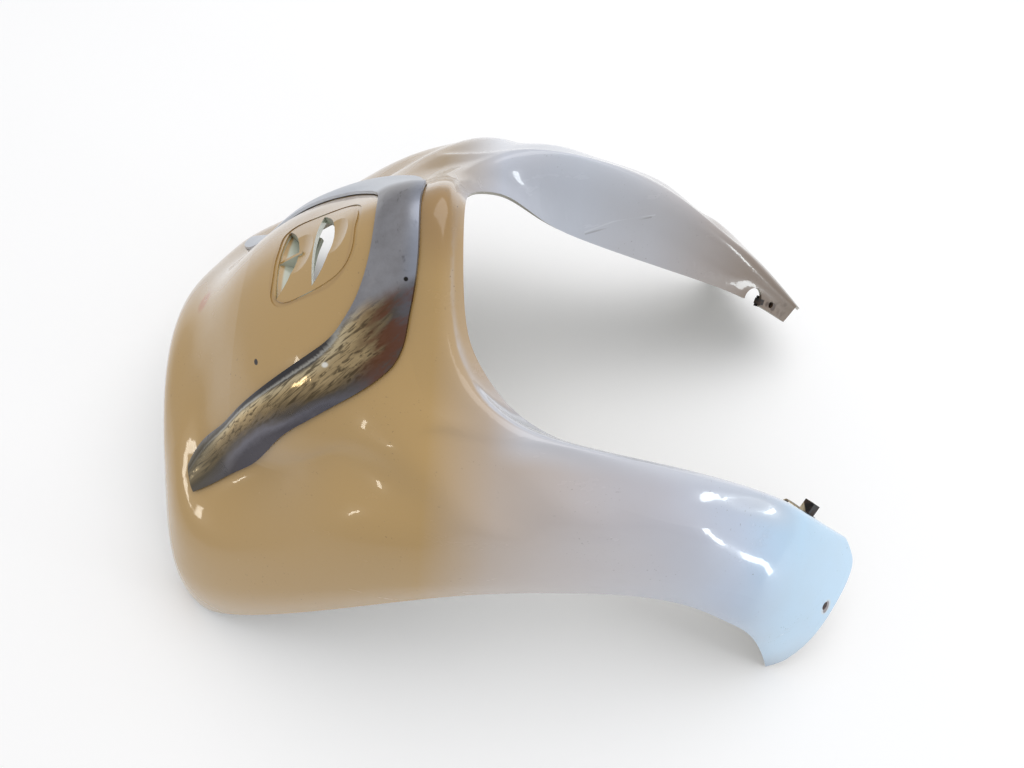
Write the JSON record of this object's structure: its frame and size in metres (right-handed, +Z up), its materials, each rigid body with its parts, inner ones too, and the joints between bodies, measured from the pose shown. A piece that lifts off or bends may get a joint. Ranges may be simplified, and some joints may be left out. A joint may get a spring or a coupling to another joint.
{
  "type": "scooter front cover",
  "caption": "One-piece moulded scooter front cover with a wheel-arch opening between two arms, a plated trim strip round a vent panel and clip nuts on its return flange",
  "frame": {"origin": "middle of the bounding box in plan, on the floor the cover lies on", "axes": "+X runs along the cover from its upper rim to the tips of the arms, +Y runs across it to the right arm, +Z is up, out of the front face; the cover lies on its arms' tips and the corners of its upper rim"},
  "size_m": [0.5346, 0.392, 0.2813],
  "materials": {
    "moulding": "gloss",
    "plating": "polished",
    "spring_steel": "satin"
  },
  "bodies": {
    "root": {"cover_shell": "moulding", "chrome_trim": "plating", "clip_nut_left": "spring_steel", "clip_nut_right": "spring_steel", "push_nut_1": "spring_steel", "push_nut_2": "spring_steel", "push_nut_3": "spring_steel", "push_nut_4": "spring_steel", "push_nut_5": "spring_steel"}
  },
  "joints": []
}
